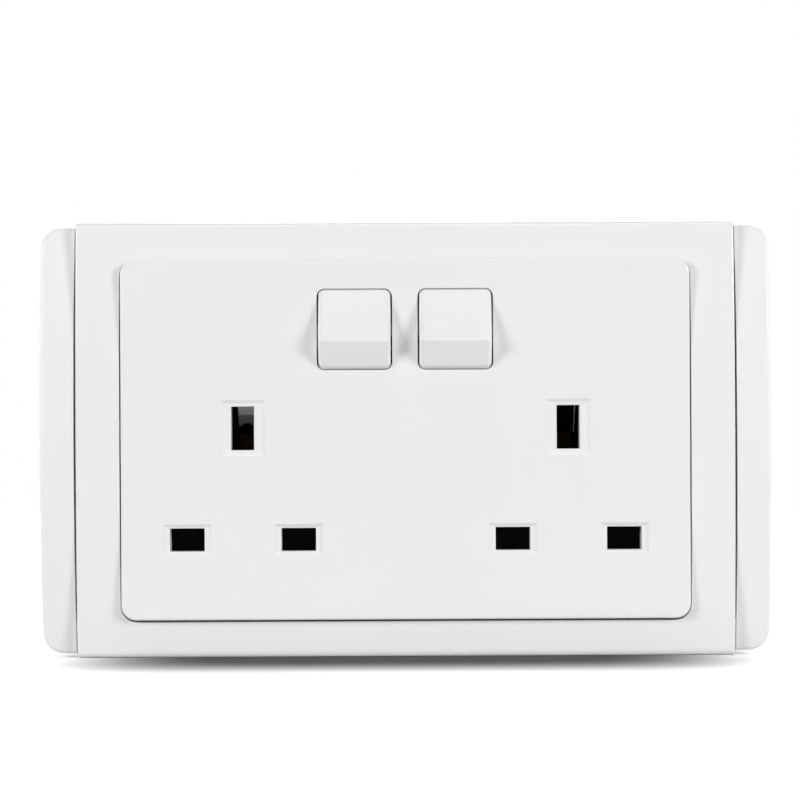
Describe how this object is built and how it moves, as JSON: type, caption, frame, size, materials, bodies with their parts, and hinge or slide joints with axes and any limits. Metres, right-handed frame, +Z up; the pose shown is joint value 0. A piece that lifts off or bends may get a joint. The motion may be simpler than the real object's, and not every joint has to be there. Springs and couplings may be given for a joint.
{
  "type": "twin switched wall socket",
  "caption": "Landscape wall plate with shuttered three-pin outlets and rocker switches above them, in a bowed clip-on surround with end trims, on a shallow contact housing.",
  "frame": {"origin": "middle of the wall plane, midway between the two fixing holes", "axes": "+X to the right along the plate, +Y into the wall, +Z up"},
  "size_m": [0.146, 0.0331, 0.087],
  "materials": {
    "white_plastic": "glossy moulded",
    "dark_plastic": "matt moulded",
    "housing_plastic": "matt moulded",
    "nylon": "natural",
    "brass": "stamped strip",
    "silver": "bright",
    "spring_steel": "drawn wire",
    "zinc_steel": "zinc plated"
  },
  "bodies": {
    "wall_body": {"socket_plate": "white_plastic", "surround": "white_plastic", "left_trim": "white_plastic", "right_trim": "white_plastic", "contact_deck": "dark_plastic", "rear_housing": "housing_plastic", "live_feed_strip": "brass", "left_live_contact": "brass", "right_live_contact": "brass", "neutral_contact": "brass", "earth_contact": "brass", "live_terminal": "brass", "neutral_terminal": "brass", "left_earth_terminal": "brass", "right_earth_terminal": "brass", "terminal_screws": "zinc_steel", "housing_screws": "zinc_steel", "left_fixed_tip": "silver", "right_fixed_tip": "silver", "left_shutter_spring": "spring_steel", "right_shutter_spring": "spring_steel"},
    "left_rocker_body": {"left_rocker": "white_plastic", "left_plunger_spring": "spring_steel"},
    "left_plunger_body": {"left_plunger": "nylon"},
    "left_lever_body": {"left_lever": "brass", "left_lever_tip": "silver"},
    "left_shutter_body": {"left_shutter": "dark_plastic"},
    "right_rocker_body": {"right_rocker": "white_plastic", "right_plunger_spring": "spring_steel"},
    "right_plunger_body": {"right_plunger": "nylon"},
    "right_lever_body": {"right_lever": "brass", "right_lever_tip": "silver"},
    "right_shutter_body": {"right_shutter": "dark_plastic"}
  },
  "joints": [
    {"name": "left_rocker_tilt", "type": "hinge", "parent": "wall_body", "child": "left_rocker_body", "pos_m": [-0.01005, -0.0055, 0.0219], "axis": [1, 0, 0], "range_deg": [0, 14]},
    {"name": "left_plunger_slide", "type": "slide", "parent": "left_rocker_body", "child": "left_plunger_body", "axis": [0, -0.9925, 0.1219], "range_m": [0, 0.001], "stiffness_N_per_m": 200, "springref_m": -0.004, "deforming": ["left_plunger_spring"]},
    {"name": "left_lever_tilt", "type": "hinge", "parent": "wall_body", "child": "left_lever_body", "pos_m": [-0.01005, 0.0064, 0.0219], "axis": [1, 0, 0], "range_deg": [-12, 0]},
    {"name": "left_shutter_slide", "type": "slide", "parent": "wall_body", "child": "left_shutter_body", "axis": [0, 0, 1], "range_m": [0, 0.0056], "stiffness_N_per_m": 60, "springref_m": -0.01, "deforming": ["left_shutter_spring"]},
    {"name": "right_rocker_tilt", "type": "hinge", "parent": "wall_body", "child": "right_rocker_body", "pos_m": [0.01005, -0.0055, 0.0219], "axis": [1, 0, 0], "range_deg": [0, 14]},
    {"name": "right_plunger_slide", "type": "slide", "parent": "right_rocker_body", "child": "right_plunger_body", "axis": [0, -0.9925, 0.1219], "range_m": [0, 0.001], "stiffness_N_per_m": 200, "springref_m": -0.004, "deforming": ["right_plunger_spring"]},
    {"name": "right_lever_tilt", "type": "hinge", "parent": "wall_body", "child": "right_lever_body", "pos_m": [0.01005, 0.0064, 0.0219], "axis": [1, 0, 0], "range_deg": [-12, 0]},
    {"name": "right_shutter_slide", "type": "slide", "parent": "wall_body", "child": "right_shutter_body", "axis": [0, 0, 1], "range_m": [0, 0.0056], "stiffness_N_per_m": 60, "springref_m": -0.01, "deforming": ["right_shutter_spring"]}
  ],
  "couplings": [
    {"joint": "left_lever_tilt", "follows": "left_rocker_tilt", "ratio": -0.85714},
    {"joint": "right_lever_tilt", "follows": "right_rocker_tilt", "ratio": -0.85714}
  ]
}
